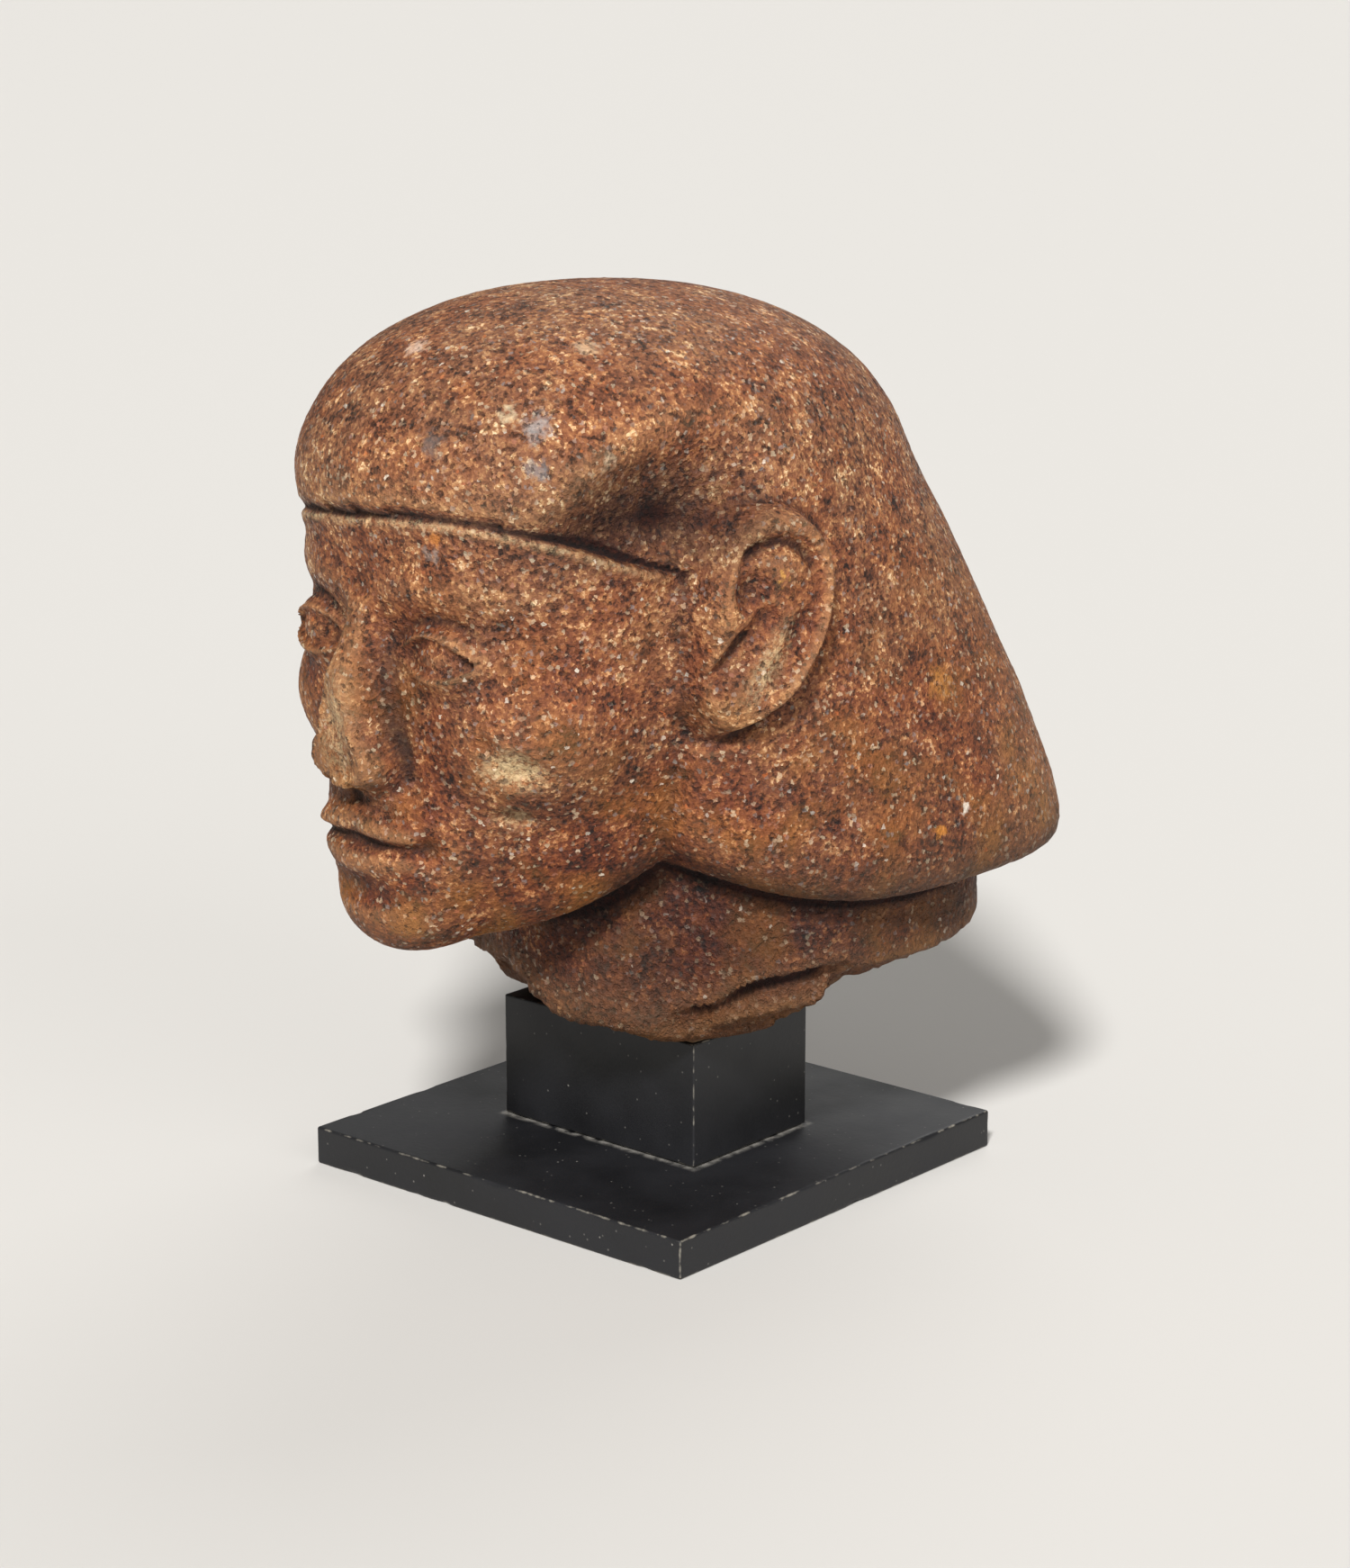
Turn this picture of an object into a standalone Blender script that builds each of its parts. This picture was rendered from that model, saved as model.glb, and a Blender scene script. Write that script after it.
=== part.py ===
"""A carved stone head with a plain bag wig, broken off at the neck, on a painted block and plate.

Metres, +Z up, the face towards -Y, the origin under the middle of the plate. The stone is one free
form: stone() is negative inside it, in millimetres from the chin, and its surface is cast outwards
from one centre. The face is a generic one on textbook proportions: its thirds and its eye line are
worked out from FACE_THIRD.
"""

import math

import bmesh
import bpy
import numpy as np

MM = 0.001

# the mount
PLATE_SIDE, PLATE_HIGH, PLATE_EDGE = 150.0, 12.0, 0.8
BLOCK_WIDE, BLOCK_DEEP, BLOCK_HIGH, BLOCK_EDGE = 78.0, 54.0, 39.0, 0.6
REST_GAP = 0.3  # painted faces and stone that touch

# the stone as it stands
STONE_HIGH = 225.0  # from its seat on the block to its crown
HEAD_TURN = -9.2  # degrees about the vertical: the stone sits a little askew on its block
HEAD_AHEAD = 18.0  # from the middle of the plate to the stone's own axis

# the stone's form, from the chin, in shares of which CROWN + NECK_DROP make the whole height
NECK_DROP = 37.0  # chin to the flat seat under the neck
CROWN = 188.0
FORM_TO_STONE = STONE_HIGH / (CROWN + NECK_DROP)
FACE_THIRD = 50.0  # chin to nose base, and nose base to brow
FACE_HALF = 70.0
EYE_HALF = FACE_HALF / 5
EYE_APART = 2 * EYE_HALF
EYE_UP = 0.89 * 2 * FACE_THIRD
MOUTH_UP = 0.67 * FACE_THIRD
NOSE_SCAR = 100.5  # how far ahead the broken nose still reaches
HAIR_UP = 131.0
WIG_EDGE = 29.0  # how far ahead the wig's front edge stands, beside the jaw
EAR_AT, EAR_UP, EAR_HALF_HIGH, EAR_HALF_WIDE, EAR_LEAN = 12.5, 99.5, 33.0, 18.0, 17.0

# casting
CAST_CENTRE = np.array((0.0, -6.0, 86.0))
CAST_FROM, CAST_TO, CAST_STEPS, CAST_HALVINGS = 20.0, 240.0, 56, 12
FACETS_ROUND, FACETS_UP = 216, 124
STONE_TRIANGLES = 7800


def along(t, places, values):
    """A smooth curve through a short profile, level before its first place and after its last."""
    places, values = np.asarray(places, float), np.asarray(values, float)
    slopes = np.gradient(values, places)
    t = np.clip(t, places[0], places[-1])
    i = np.clip(np.searchsorted(places, t, side="right") - 1, 0, len(places) - 2)
    gap = places[i + 1] - places[i]
    s = (t - places[i]) / gap
    start = values[i] * (1 + 2 * s) * (1 - s) ** 2 + slopes[i] * gap * s * (1 - s) ** 2
    return start + values[i + 1] * s * s * (3 - 2 * s) + slopes[i + 1] * gap * s * s * (s - 1)


def join(a, b, soft):
    h = np.clip(0.5 + 0.5 * (b - a) / soft, 0, 1)
    return b + (a - b) * h - soft * h * (1 - h)


def keep(a, b, soft):
    return -join(-a, -b, soft)


def cut(a, b, soft):
    return keep(a, -b, soft)


def egg(x, f, z, centre, radii):
    p = [(t - c) / r for t, c, r in zip((x, f, z), centre, radii)]
    far = np.sqrt(p[0] ** 2 + p[1] ** 2 + p[2] ** 2) + 1e-9
    steep = np.sqrt(sum((t / r) ** 2 for t, r in zip(p, radii))) + 1e-9
    return far * (far - 1) / steep


def oval(x, f, half, middle, front, back, front_power, back_power):
    """Distance to an outline seen from above, with its own length and squareness before and behind."""
    d = f - middle
    length, power = np.where(d > 0, front, back), np.where(d > 0, front_power, back_power)
    share = ((np.abs(x) / half) ** power + (np.abs(d) / length) ** power) ** (1 / power) + 1e-9
    return np.sqrt(x * x + d * d) * (1 - 1 / share)


def ramp(t, low, high):
    s = np.clip((t - low) / (high - low), 0, 1)
    return s * s * (3 - 2 * s)


def ridge(t, width):
    """1 at nought, falling smoothly to nothing at the width."""
    s = np.clip(np.abs(t) / width, 0, 1)
    return (1 - s * s) ** 2


def spot(a, b, half_a, half_b):
    return ridge(np.sqrt((a / half_a) ** 2 + (b / half_b) ** 2), 1.0)


def face_mass(x, f, z):
    levels = (-30, 0, 12, 26, 40, 56, 75, 95, 130, 150)
    half = along(z, levels, (30, 39, 49, 57.5, 62.5, 66.5, 69, FACE_HALF, FACE_HALF, 68))
    front = along(z, levels, (70, 83, 87.5, 89, 89, 89, 89, 89, 92.5, 91))
    power = along(z, levels, (1.9, 1.9, 1.95, 2.05, 2.15, 2.25, 2.35, 2.45, 2.5, 2.3))
    sides = oval(x, f, half, 0.0, front, 80.0, power, 2.2)
    jaw = along(f, (-20, 0, 14, 28, 46, 66, 84, 100), (60, 42, 28, 16, 6, 1.2, 0, 2))
    return keep(sides, (jaw - z) * 0.9, 14)


def socket_and_eye(u, f, z, d):
    """u is the distance from the face's middle, so both eyes come of one."""
    d = cut(d, egg(u, f, z, (EYE_APART - 1, 101, EYE_UP + 3), (22, 13.5, 12)), 9)
    d = cut(d, egg(u, f, z, (0.5 * EYE_APART - 1, 99.5, EYE_UP + 3), (7, 9, 9)), 6)
    ball = egg(u, f, z, (EYE_APART, 72.6, EYE_UP), (15.5, 15.5, 13.5))
    lids = egg(u, f, z, (EYE_APART, 72.8, EYE_UP), (18, 16.9, 15.2))
    s = (u - EYE_APART) / EYE_HALF
    arch = np.clip(1 - s * s, 0, 1)
    upper = EYE_UP + 0.4 + 6.2 * arch ** 0.75 + 0.5 * s
    lower = EYE_UP + 0.2 - 4.6 * arch ** 0.85 - 0.3 * s
    inside = np.where(np.abs(s) < 1, np.minimum(upper - z, z - lower), (1 - np.abs(s)) * EYE_HALF)
    d = join(join(d, ball, 1.2), keep(lids, inside, 1.2), 2.5)
    ahead = (f > 40) * ramp(1.3 - np.abs(s), 0, 0.35)
    rims = ridge(z - upper - 1.3, 1.9) + 0.75 * ridge(z - lower + 1.3, 1.9)
    return d - ahead * (0.9 * rims - 1.0 * ridge(z - upper - 5.4, 1.8))


def nose(u, f, z, d):
    """The wedge with its ridge and tip knocked off: the scar is nearly flat, and the wings stay."""
    base = FACE_THIRD
    rise = (z - base) / FACE_THIRD
    ridge_at = along(rise, (-0.08, 0.1, 0.25, 0.55, 0.9, 1.15), (98, 112, 112.5, 105, 95, 91.5))
    side_at = along(rise, (-0.08, 0.1, 0.3, 0.55, 0.9, 1.15), (16.5, 16.5, 13.5, 11.5, 11, 13))
    wedge = keep((f - ridge_at + np.maximum(u - 3, 0) ** 1.6 * 0.4) * 0.8, (u - side_at) * 0.8, 8)
    wedge = keep(wedge, keep(base - z, z - base * 2.08, 3), 3)
    wedge = keep(wedge, 60 - f, 3)
    d = join(d, wedge, 5)
    d = join(d, egg(u, f, z, (11, 94.5, base + 7.5), (6, 9.5, 6.4)), 4)
    d = join(d, egg(u, f, z, (0, 101, base + 8), (9, 9, 7)), 5)
    return cut(d, egg(u, f, z, (6.2, 96, base), (2.8, 5, 2.4)), 1.6)


def mouth(u, f, z, d):
    d = join(d, egg(u, f, z, (0, 72, MOUTH_UP + 1), (30, 21, 25)), 12)
    line = MOUTH_UP + 0.6 * ridge(u, 10)
    top = egg(u, f, z + 0.16 * u, (4, 87.8, MOUTH_UP + 5.8), (21, 8.2, 6.0))
    low = egg(u, f, z - 0.10 * u, (0, 87.4, MOUTH_UP - 6.2), (21, 9.2, 7.2))
    d = join(join(d, top, 2.5), low, 2.5)
    d = d + 1.5 * (f > 50) * ridge(z - line, 2.6) * ramp(26 - u, 0, 6)
    d = cut(d, egg(u, f, z, (26, 90.5, MOUTH_UP), (4, 6, 3.5)), 5)
    trough = ridge(u, 4.6) * ramp(z, MOUTH_UP + 9, MOUTH_UP + 12) * ramp(FACE_THIRD + 1 - z, 0, 4)
    under_lip = spot(u, z - (MOUTH_UP - 15), 22, 7)
    return d + (f > 50) * (1.1 * trough + 2.0 * under_lip)


def face(x, f, z):
    u = np.abs(x)
    d = face_mass(x, f, z)
    d = join(d, egg(u, f, z, (39, 58, EYE_UP - 21), (22, 23, 19)), 16)
    d = join(d, egg(u, f, z, (0, 78, 12), (22, 15, 13)), 10)
    brow = 2 * FACE_THIRD + 5 + 3.5 * np.sin(np.clip(u / 60, 0, 1) * np.pi * 0.9)
    d = d - 1.5 * ridge(z - brow, 9) * ramp(u, 0, 8) * ramp(64 - u, 0, 20) * (f > 20)
    d = mouth(u, f, z, nose(u, f, z, socket_and_eye(u, f, z, d)))
    fold = along(z, (36, 46, 56), (29.5, 23, 18))
    d = d + 0.8 * ridge(u - fold, 4.5) * ramp(z, 40, 48) * ramp(60 - z, 0, 8) * (f > 40)
    return d


def stroke(v, w, start, end, half):
    """1 along a straight carved stroke, falling to nothing at its half width."""
    (v0, w0), (v1, w1) = start, end
    share = ((v - v0) * (v1 - v0) + (w - w0) * (w1 - w0)) / ((v1 - v0) ** 2 + (w1 - w0) ** 2)
    share = np.clip(share, 0, 1)
    return ridge(np.hypot(v - v0 - share * (v1 - v0), w - w0 - share * (w1 - w0)), half)


def ear(f, z):
    """How far the ear stands off the wig, v up along it and w back across it."""
    lean = math.radians(EAR_LEAN)
    df, dz = f - EAR_AT, z - EAR_UP
    v = dz * math.cos(lean) - df * math.sin(lean)
    w = -(df * math.cos(lean) + dz * math.sin(lean))
    wide = EAR_HALF_WIDE + 5.5 * v / EAR_HALF_HIGH
    e = np.sqrt((w / wide) ** 2 + (v / EAR_HALF_HIGH) ** 2)
    around = np.degrees(np.arctan2(w / wide, v / EAR_HALF_HIGH))  # 0 at the top, 90 at the back
    stand = 6.8 * ramp(1.07 - e, 0, 0.15 + 0.2 * ramp(-around, 20, 70) * ramp(around, -150, -110))
    rim = 2.2 * ridge(e - 0.88, 0.17) * ramp(around, -80, -45) * ramp(160 - around, 0, 40)
    lump = 1.2 * spot(v - 16, w, 9, 10) + 1.8 * spot(v + 2, w + 13, 11, 6) + 1.2 * spot(v + 25, w + 2, 8, 10)
    groove = 2.3 * ridge(e - 0.71, 0.09) * ramp(around, -62, -38) * ramp(48 - around, 0, 25)
    bowl = 3.6 * spot(v - 8, w + 7.5, 9, 6.5)
    channel = 2.6 * stroke(v, w, (2, -1.5), (-21, -7), 4.6) + 1.8 * stroke(v, w, (-5, -5.5), (-19, -10), 2.6)
    behind = 1.6 * stroke(v, w, (4, 10), (-13, 6.5), 4.2)
    around_lobe = 1.8 * ridge(e - 1.12, 0.09) * np.maximum(ramp(around, 95, 125), ramp(-around, 130, 150))
    return stand + rim + lump - groove - bowl - channel - behind - around_lobe


def hairline(x, f):
    """The height of the hair's edge: it falls back to the ears, and hangs lower on the right side."""
    level = along(f, (20, 35, 51, 63, 75, 84, 100), (112, 115, 120, 124.5, 127.8, 130, HAIR_UP))
    return level + 0.085 * np.clip(x - 25, -75, 0)


def temple_hollow(f, z):
    """How far the wig sinks before and above the ear: one long dip, deepest against the ear's rim."""
    back, up = 40 - f, z - 129
    length, across = 0.88 * back + 0.48 * up, 0.88 * up - 0.48 * back
    return 13.0 * spot(length - 3, across + 1, 46, 27) + 3.0 * spot(f - 28, z - 127, 15, 13)


def wig(x, f, z):
    levels = (0, 30, 60, 88, 114, 134, 155)
    half = along(z, levels, (101, 99, 93.5, 88, 84, 81, 80))
    middle = along(z, levels, (-50, -49, -42, -29, -14, -1, 1))
    front = along(z, levels, (100, 100, 100, 101, 105, 97.5, 95))
    back = along(z, levels, (80, 76.5, 76, 81, 89, 97, 98))
    power = along(z, levels, (3.6, 3.5, 3.2, 2.8, 2.4, 2.1, 2.0))
    spring = HAIR_UP - 2
    rise = np.clip((z - spring) / (CROWN - spring), 0, None)
    d = f - middle - 4.0 * np.clip(rise, 0, 1)
    length, bend = np.where(d > 0, front, back), np.where(d > 0, 2.1, power)
    share = ((np.abs(x) / half) ** bend + (np.abs(d) / length) ** bend) ** (1 / bend)
    share = (share ** 2.2 + rise ** 2.2) ** (1 / 2.2) + 1e-9
    solid = np.sqrt(x * x + d * d + np.clip(z - spring, 0, None) ** 2) * (1 - 1 / share)
    beside = np.abs(x) > 20
    solid = solid + beside * temple_hollow(f, z)
    hair = hairline(x, f)
    edge = f - WIG_EDGE
    temple = np.abs(x) - (FACE_HALF + 2 + 0.62 * (WIG_EDGE + 4 - f) + 1.1 * np.maximum(EAR_UP - 30 - z, 0))
    solid = np.where(z < 118, keep(solid, temple * 0.8, 6), solid)
    under_hair = np.minimum(hair - z, edge)
    solid = keep(solid, under_hair, np.where(edge > hair - z, 3.0, 9.0))
    solid = solid - beside * ear(f, z)
    hem = along(f, (-135, -105, -80, -50, -20, 0, 20, 34, 46), (14, 14, 13, 11.5, 12, 15.5, 24, 32, 44))
    return keep(solid, (hem - z) * 0.9, 13)


def shoulders(x, f, z):
    """The stub under the wig, set back from its hem."""
    return keep(oval(x, f, 84.0, -42.0, 66.0, 64.0, 2.2, 3.0), z - 60, 4)


def neck(x, f, z):
    half = along(z, (-40, -8, 20, 50), (58, 53, 48, 47))
    cords = 2.0 * ridge(np.abs(x) - (30 + 0.35 * (z + 30)), 17) * ramp(f, 0, 25)
    return oval(x, f, half, -12.0, 50.0, 60.0, 2.1, 2.2) - cords


def break_level(x, f):
    """How high the rough break under the neck stands: flat on the block, rising all round it."""
    seat = -NECK_DROP
    away = np.sqrt((x / 52) ** 2 + ((f + 20) / np.where(f > -20, 60, 54)) ** 2)
    all_round = along(away, (0, 0.8, 1.0, 1.25, 1.6, 2.2), (0, 0, 3, 9, 17, 27))
    front = along(f, (-8, 4, 18, 30, 38, 46), (-2, 1, 3.5, 7, 8.8, 15))
    far_corner = along(x, (-30, -21, -4, 6, 14), (13, 11, 10.5, 5, 0)) * ramp(f, 8, 26)
    stepped = 7.0 * ramp(-f, 19, 23) * ramp(x, 36, 44)
    rough = 1.2 * np.sin(0.11 * x + 0.07 * f) * ramp(away, 0.8, 1.1)
    return seat + np.maximum(all_round, front) + far_corner + stepped + rough


def damaged(x, f, z, d):
    """The scar where the nose broke off, the bruise on the left cheek, and the break under the neck."""
    waves = 0.6 * np.sin(0.31 * x + 0.17 * z) + 0.4 * np.sin(0.43 * z - 0.2 * x)
    scar = f - (NOSE_SCAR + 0.1 * x + 0.05 * (z - FACE_THIRD) + waves)
    d = keep(d, scar, 1.5)
    for across, up, wide, high, deep in ((50, 60, 10, 8, 2.2), (45, 67, 5, 4, 1.4), (43, 44, 6, 4, 1.6)):
        d = d + deep * spot(x - across, z - up, wide, high) * (f > 0)
    flake_edge = along(x, (44, 49, 57, 68, 76, 84), (-27, -23, -20.5, -12.5, -9.5, -6))
    d = d + 3.2 * ramp(flake_edge - z, 0, 2.2) * ramp(x, 44, 52) * ramp(f, -30, -16)
    d = keep(d, (break_level(x, f) - z) * 0.9, 3)
    d = join(d, seat_lump(x, f, z), 2)
    return keep(d, -NECK_DROP - z, 0.5)


def seat_lump(x, f, z):
    """The little lump left standing on the block's front corner, flush with its sides."""
    angle, y = math.radians(HEAD_TURN), -f - HEAD_AHEAD
    across = x * math.cos(angle) - y * math.sin(angle)
    ahead = -x * math.sin(angle) - y * math.cos(angle)
    lump = egg(x, f, z, (38, -2, 3 - NECK_DROP), (12, 12, 7))
    return keep(keep(lump, across - BLOCK_WIDE / 2 + 0.5, 1), ahead - BLOCK_DEEP / 2 + 0.5, 1)


def unbroken(x, f, z):
    body = join(join(face(x, f, z), neck(x, f, z), 8), shoulders(x, f, z), 8)
    over_hair = z - hairline(x, f)
    beside = ramp(np.abs(x), 40, 60)
    body = keep(body + 16 * ramp(over_hair, -0.4, 3.5) * beside, z - 150, 4)
    fill_by_ear = 8 * ramp(z, 66, 78) * ramp(112 - z, 0, 8)
    head = join(body, wig(x, f, z), 1.6 + fill_by_ear)
    cut_line = 1.0 * ridge(over_hair - 0.3, 1.6) - 0.7 * ridge(over_hair + 3.0, 3.0)
    return head + cut_line * ramp(f, 26, 34) * ramp(z, 100, 108)


def stone(x, f, z):
    return damaged(x, f, z, unbroken(x, f, z))


def spread(count, places, weights):
    """Angles over the range, closer together where the weight is larger."""
    fine = np.linspace(places[0], places[-1], 4001)
    weight = np.interp(fine, places, weights)
    total = np.concatenate([[0], np.cumsum((weight[1:] + weight[:-1]) / 2)])
    return np.interp(np.linspace(0, total[-1], count), total, fine)


def cast(ways):
    """The outermost crossing of the surface along each way out of the centre."""
    far = np.linspace(CAST_FROM, CAST_TO, CAST_STEPS)
    low = np.full(len(ways), CAST_FROM)
    for reach in far:
        low = np.where(stone(*(ways * reach + CAST_CENTRE).T) < 0, reach, low)
    high = low + far[1] - far[0]
    for _ in range(CAST_HALVINGS):
        mid = (low + high) / 2
        inside = stone(*(ways * mid[:, None] + CAST_CENTRE).T) < 0
        low, high = np.where(inside, mid, low), np.where(inside, high, mid)
    return (low + high) / 2


def grid_faces(rows, columns):
    index = np.arange(rows * columns).reshape(rows, columns)
    beside = np.roll(index, -1, 1)
    quads = np.stack([index[:-1], beside[:-1], beside[1:], index[1:]], -1).reshape(-1, 4)
    south, north = rows * columns, rows * columns + 1
    caps = [(b, a, south) for a, b in zip(index[0], beside[0])]
    caps += [(a, b, north) for a, b in zip(index[-1], beside[-1])]
    return [tuple(map(int, face)) for face in [*quads, *caps]]


def stone_head(collection):
    columns, rows = int(FACETS_ROUND), int(FACETS_UP)
    around = np.radians(spread(columns + 1, (-180, -75, -60, 60, 75, 180), (1, 1.3, 2, 2, 1.3, 1))[:-1])
    up = np.radians(spread(rows + 1, (-90, -70, -45, 35, 55, 90), (1, 1.4, 2, 2, 1, 0.8))[1:-1])
    turn, lift = np.meshgrid(around, up)
    ways = np.stack([np.sin(turn) * np.cos(lift), np.cos(turn) * np.cos(lift), np.sin(lift)], -1)
    ways = np.vstack([ways.reshape(-1, 3), [[0, 0, -1], [0, 0, 1]]])
    x, f, z = (ways * cast(ways)[:, None] + CAST_CENTRE).T * FORM_TO_STONE
    angle = math.radians(HEAD_TURN)
    y = -f - HEAD_AHEAD
    chin_up = PLATE_HIGH + BLOCK_HIGH + 2 * REST_GAP + NECK_DROP * FORM_TO_STONE
    points = np.stack([x * math.cos(angle) - y * math.sin(angle),
                       x * math.sin(angle) + y * math.cos(angle), z + chin_up], -1) * MM
    mesh = bpy.data.meshes.new("stone_head")
    mesh.from_pydata(points.tolist(), [], grid_faces(rows - 1, columns))
    piece = bpy.data.objects.new("stone_head", mesh)
    collection.objects.link(piece)
    triangles = piece.modifiers.new("triangles", "TRIANGULATE")
    triangles.quad_method = "SHORTEST_DIAGONAL"
    fewer = piece.modifiers.new("fewer triangles", "DECIMATE")
    fewer.ratio = STONE_TRIANGLES / (2 * len(points) - 4)
    fewer.use_collapse_triangulate = True
    return piece


def painted_box(name, collection, wide, deep, high, bottom, edge):
    mesh = bpy.data.meshes.new(name)
    solid = bmesh.new()
    bmesh.ops.create_cube(solid, size=1)
    bmesh.ops.scale(solid, verts=solid.verts, vec=(wide * MM, deep * MM, high * MM))
    bmesh.ops.translate(solid, verts=solid.verts, vec=(0, 0, (bottom + high / 2) * MM))
    solid.to_mesh(mesh)
    solid.free()
    piece = bpy.data.objects.new(name, mesh)
    collection.objects.link(piece)
    bevel = piece.modifiers.new("worn edge", "BEVEL")
    bevel.width, bevel.segments = edge * MM, 2
    return piece


def paint(piece, name, colour, roughness, metallic=0.0):
    material = bpy.data.materials.new(name)
    material.use_nodes = True
    shader = material.node_tree.nodes["Principled BSDF"]
    shader.inputs["Base Color"].default_value = (*colour, 1)
    shader.inputs["Roughness"].default_value = roughness
    shader.inputs["Metallic"].default_value = metallic
    piece.data.materials.append(material)


def main():
    for old in list(bpy.data.objects):
        bpy.data.objects.remove(old)
    work = bpy.data.collections.new("carved_stone_head")
    bpy.context.scene.collection.children.link(work)
    plate = painted_box("base_plate", work, PLATE_SIDE, PLATE_SIDE, PLATE_HIGH, 0, PLATE_EDGE)
    block = painted_box("mount_block", work, BLOCK_WIDE, BLOCK_DEEP, BLOCK_HIGH,
                        PLATE_HIGH + REST_GAP, BLOCK_EDGE)
    head = stone_head(work)
    paint(plate, "black painted plate", (0.012, 0.012, 0.014), 0.5)
    paint(block, "black painted block", (0.014, 0.014, 0.016), 0.5)
    paint(head, "brown granite", (0.25, 0.125, 0.055), 0.6)


main()
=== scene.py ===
import math

import bpy
import numpy as np
from mathutils import Matrix, Vector, noise


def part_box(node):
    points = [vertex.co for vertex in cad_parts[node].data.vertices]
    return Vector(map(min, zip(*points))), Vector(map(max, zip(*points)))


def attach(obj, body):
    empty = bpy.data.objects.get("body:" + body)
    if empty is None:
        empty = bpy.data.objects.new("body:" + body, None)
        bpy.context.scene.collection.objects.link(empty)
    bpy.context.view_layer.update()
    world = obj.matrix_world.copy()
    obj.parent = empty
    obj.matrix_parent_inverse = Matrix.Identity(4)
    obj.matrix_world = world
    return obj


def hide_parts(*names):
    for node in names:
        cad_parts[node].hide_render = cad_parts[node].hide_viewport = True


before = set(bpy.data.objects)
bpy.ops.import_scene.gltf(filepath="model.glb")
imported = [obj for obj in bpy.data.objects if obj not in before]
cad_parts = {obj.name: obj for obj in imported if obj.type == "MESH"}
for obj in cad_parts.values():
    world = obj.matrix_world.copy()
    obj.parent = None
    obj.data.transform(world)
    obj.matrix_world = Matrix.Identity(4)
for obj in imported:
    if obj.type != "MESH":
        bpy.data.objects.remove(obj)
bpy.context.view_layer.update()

MM = 0.001

# the mount, as the solids have it
PLATE_SIDE, PLATE_HIGH, PLATE_EDGE = 150.0, 12.0, 0.8
BLOCK_WIDE, BLOCK_DEEP, BLOCK_HIGH, BLOCK_EDGE = 78.0, 54.0, 39.0, 0.6
REST_GAP = 0.3

# the stone as it stands
STONE_HIGH = 225.0  # from its seat on the block to its crown
HEAD_TURN = -9.2  # degrees about the vertical: the stone sits a little askew on its block
HEAD_AHEAD = 18.0  # from the middle of the plate to the stone's own axis

# the stone's form, from the chin, in shares of which CROWN + NECK_DROP make the whole height
NECK_DROP = 37.0  # chin to the flat seat under the neck
CROWN = 188.0
FORM_TO_STONE = STONE_HIGH / (CROWN + NECK_DROP)
FACE_THIRD = 50.0  # chin to nose base, and nose base to brow
FACE_HALF = 70.0
EYE_HALF = FACE_HALF / 5
EYE_APART = 2 * EYE_HALF
EYE_UP = 0.89 * 2 * FACE_THIRD
MOUTH_UP = 0.67 * FACE_THIRD
NOSE_SCAR = 100.5  # how far ahead the broken nose still reaches
HAIR_UP = 131.0
WIG_EDGE = 29.0  # how far ahead the wig's front edge stands, beside the jaw
EAR_AT, EAR_UP, EAR_HALF_HIGH, EAR_HALF_WIDE, EAR_LEAN = 12.5, 99.5, 33.0, 18.0, 17.0

# casting
CAST_CENTRE = np.array((0.0, -6.0, 86.0))
CAST_FROM, CAST_TO, CAST_STEPS, CAST_HALVINGS = 20.0, 240.0, 56, 12

# the fine mesh and its skin, in millimetres
FINE_COLUMNS, FINE_ROWS = 416, 236
SKIN = {"Pit spacing": 4.6, "Pit depth": 0.75, "Grain spacing": 1.9, "Grain depth": 0.5,
        "Tool waves": 0.8, "Break relief": 3.4, "Seed": 4.0}
PIT_CROWD, TOOL_WAVE, TEAR = 26, 19, 8  # how far across

# the mount's mesh, and its chips: the noise they start at, how deep they go for each unit past it, and at most
BLOCK_STEP, PLATE_STEP = 2.5, 3.0
CHIP_OVER, CHIP_DEEP, CHIP_MOST = 0.42, 2.4, 0.9

# how far across the patterns in the stone and in the paint are, in millimetres
GRAIN, GRAIN_FRAY, GRIT, CLOT, CLOUD, STAIN = 1.1, 0.8, 1.7, 9, 35, 20
# the third is how far across the darkened pits are, partly dirt and partly their painted shade
PEBBLE_FRAY, CRUMB, DARK_PIT = 2.5, 2.2, 2.4
PAINT_CLOUD, KNOCK, DUST_CELL, GLUE_GAP, BRUSH_MARK = 30, 3.5, 4, 4, 1.6

# colours, as seen in even light
TINTS = ((0.3, "#e0bba6"), (0.45, "#ffe9d8"), (0.58, "#ffffff"), (0.72, "#f3cfb0"))
# the low tint is browner and darker low down: the stone's own colour, with painted shade in it
LOW_TINT_AND_SHADE, OCHRE = "#c9a68c", "#9c6520"
GRAINS = ((0.0, "#1e0e08"), (0.2, "#4a2a19"), (0.4, "#70442c"), (0.6, "#875739"), (0.8, "#a0724b"),
          (0.93, "#c1966a"), (1.0, "#e3c79e"))
# pale quartz grains, brightened further as painted glints
CLEAR_GRAIN_AND_GLINT = "#f3dcb6"
FLECKS = ((0.0, "#c2621e"), (0.5, "#8b8482"), (0.8, "#6f655f"), (1.0, "#efe6d6"))
# the dirt colour here is painted shade in what is sunk, and dirt in the pits; the crevice colour is painted
# shade in the creases; the bruise colour also paints a highlight under the hair's cut
RUBBED, RAW, BRUISE_AND_HIGHLIGHT, SHADE_AND_DIRT, CREVICE_SHADE = "#7d6040", "#b07a48", "#e3c898", "#4a2c1b", "#170e09"
FLOOR, FLOOR_REACH = "#d2cfca", 20.0
PAINT = ((0.3, "#0e0e10"), (0.7, "#1b1b1e"))
UNDERCOAT, DUST = "#8d877b", "#8f8b84"

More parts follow.
